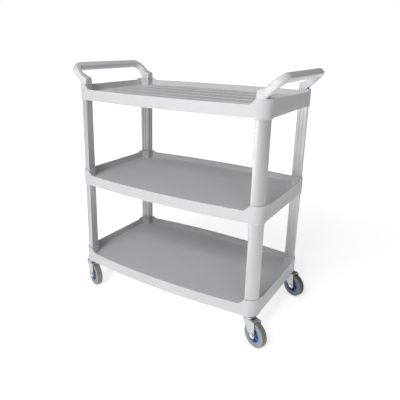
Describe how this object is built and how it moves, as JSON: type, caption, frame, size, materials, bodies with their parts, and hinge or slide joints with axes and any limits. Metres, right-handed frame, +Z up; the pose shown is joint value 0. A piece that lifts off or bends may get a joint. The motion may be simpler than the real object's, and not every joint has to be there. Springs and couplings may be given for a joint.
{
  "type": "food service trolley",
  "caption": "Three-tier service trolley with moulded tray shelves, metal corner uprights, a push handle at each end and swivel castors.",
  "frame": {"origin": "on the floor, under the middle of the shelves", "axes": "+Z up; X along the length of the shelves, handles at -X (left) and +X (right); -Y is the front, with the lowest rims"},
  "size_m": [0.853, 0.47, 0.898],
  "materials": {
    "shelf_plastic": "fine moulded texture, light grey",
    "handle_plastic": "smooth moulded, light grey",
    "upright_aluminium": "satin anodised extrusion",
    "socket_plastic": "moulded plug, mid grey",
    "plated_steel": "bright zinc plate",
    "hub_plastic": "moulded, blue",
    "tyre_rubber": "non-marking grey tread"
  },
  "bodies": {
    "chassis": {"top_shelf": "shelf_plastic", "middle_shelf": "shelf_plastic", "bottom_shelf": "shelf_plastic", "left_handle": "handle_plastic", "right_handle": "handle_plastic", "handle_screws": "plated_steel", "upright_upper_fl": "upright_aluminium", "upright_lower_fl": "upright_aluminium", "castor_socket_fl": "socket_plastic", "castor_fl_stem": "plated_steel", "upright_upper_fr": "upright_aluminium", "upright_lower_fr": "upright_aluminium", "castor_socket_fr": "socket_plastic", "castor_fr_stem": "plated_steel", "upright_upper_bl": "upright_aluminium", "upright_lower_bl": "upright_aluminium", "castor_socket_bl": "socket_plastic", "castor_bl_stem": "plated_steel", "upright_upper_br": "upright_aluminium", "upright_lower_br": "upright_aluminium", "castor_socket_br": "socket_plastic", "castor_br_stem": "plated_steel"},
    "castor_fl_swivel": {"castor_fl_fork": "plated_steel", "castor_fl_balls": "plated_steel", "castor_fl_axle": "plated_steel", "castor_fl_nut": "plated_steel", "castor_fl_sleeve": "plated_steel"},
    "castor_fl_wheel": {"castor_fl_hub": "hub_plastic", "castor_fl_tyre": "tyre_rubber"},
    "castor_fr_swivel": {"castor_fr_fork": "plated_steel", "castor_fr_balls": "plated_steel", "castor_fr_axle": "plated_steel", "castor_fr_nut": "plated_steel", "castor_fr_sleeve": "plated_steel"},
    "castor_fr_wheel": {"castor_fr_hub": "hub_plastic", "castor_fr_tyre": "tyre_rubber"},
    "castor_bl_swivel": {"castor_bl_fork": "plated_steel", "castor_bl_balls": "plated_steel", "castor_bl_axle": "plated_steel", "castor_bl_nut": "plated_steel", "castor_bl_sleeve": "plated_steel"},
    "castor_bl_wheel": {"castor_bl_hub": "hub_plastic", "castor_bl_tyre": "tyre_rubber"},
    "castor_br_swivel": {"castor_br_fork": "plated_steel", "castor_br_balls": "plated_steel", "castor_br_axle": "plated_steel", "castor_br_nut": "plated_steel", "castor_br_sleeve": "plated_steel"},
    "castor_br_wheel": {"castor_br_hub": "hub_plastic", "castor_br_tyre": "tyre_rubber"}
  },
  "joints": [
    {"name": "castor_fl_turn", "type": "hinge", "parent": "chassis", "child": "castor_fl_swivel", "pos_m": [-0.358, -0.191, 0.0965], "axis": [0, 0, 1], "continuous": true},
    {"name": "castor_fl_roll", "type": "hinge", "parent": "castor_fl_swivel", "child": "castor_fl_wheel", "pos_m": [-0.33151, -0.2028, 0.045], "axis": [0.4067, 0.9135, 0], "continuous": true},
    {"name": "castor_fr_turn", "type": "hinge", "parent": "chassis", "child": "castor_fr_swivel", "pos_m": [0.358, -0.191, 0.0965], "axis": [0, 0, 1], "continuous": true},
    {"name": "castor_fr_roll", "type": "hinge", "parent": "castor_fr_swivel", "child": "castor_fr_wheel", "pos_m": [0.38449, -0.2028, 0.045], "axis": [0.4067, 0.9135, 0], "continuous": true},
    {"name": "castor_bl_turn", "type": "hinge", "parent": "chassis", "child": "castor_bl_swivel", "pos_m": [-0.358, 0.191, 0.0965], "axis": [0, 0, 1], "continuous": true},
    {"name": "castor_bl_roll", "type": "hinge", "parent": "castor_bl_swivel", "child": "castor_bl_wheel", "pos_m": [-0.33151, 0.1792, 0.045], "axis": [0.4067, 0.9135, 0], "continuous": true},
    {"name": "castor_br_turn", "type": "hinge", "parent": "chassis", "child": "castor_br_swivel", "pos_m": [0.358, 0.191, 0.0965], "axis": [0, 0, 1], "continuous": true},
    {"name": "castor_br_roll", "type": "hinge", "parent": "castor_br_swivel", "child": "castor_br_wheel", "pos_m": [0.38449, 0.1792, 0.045], "axis": [0.4067, 0.9135, 0], "continuous": true}
  ]
}
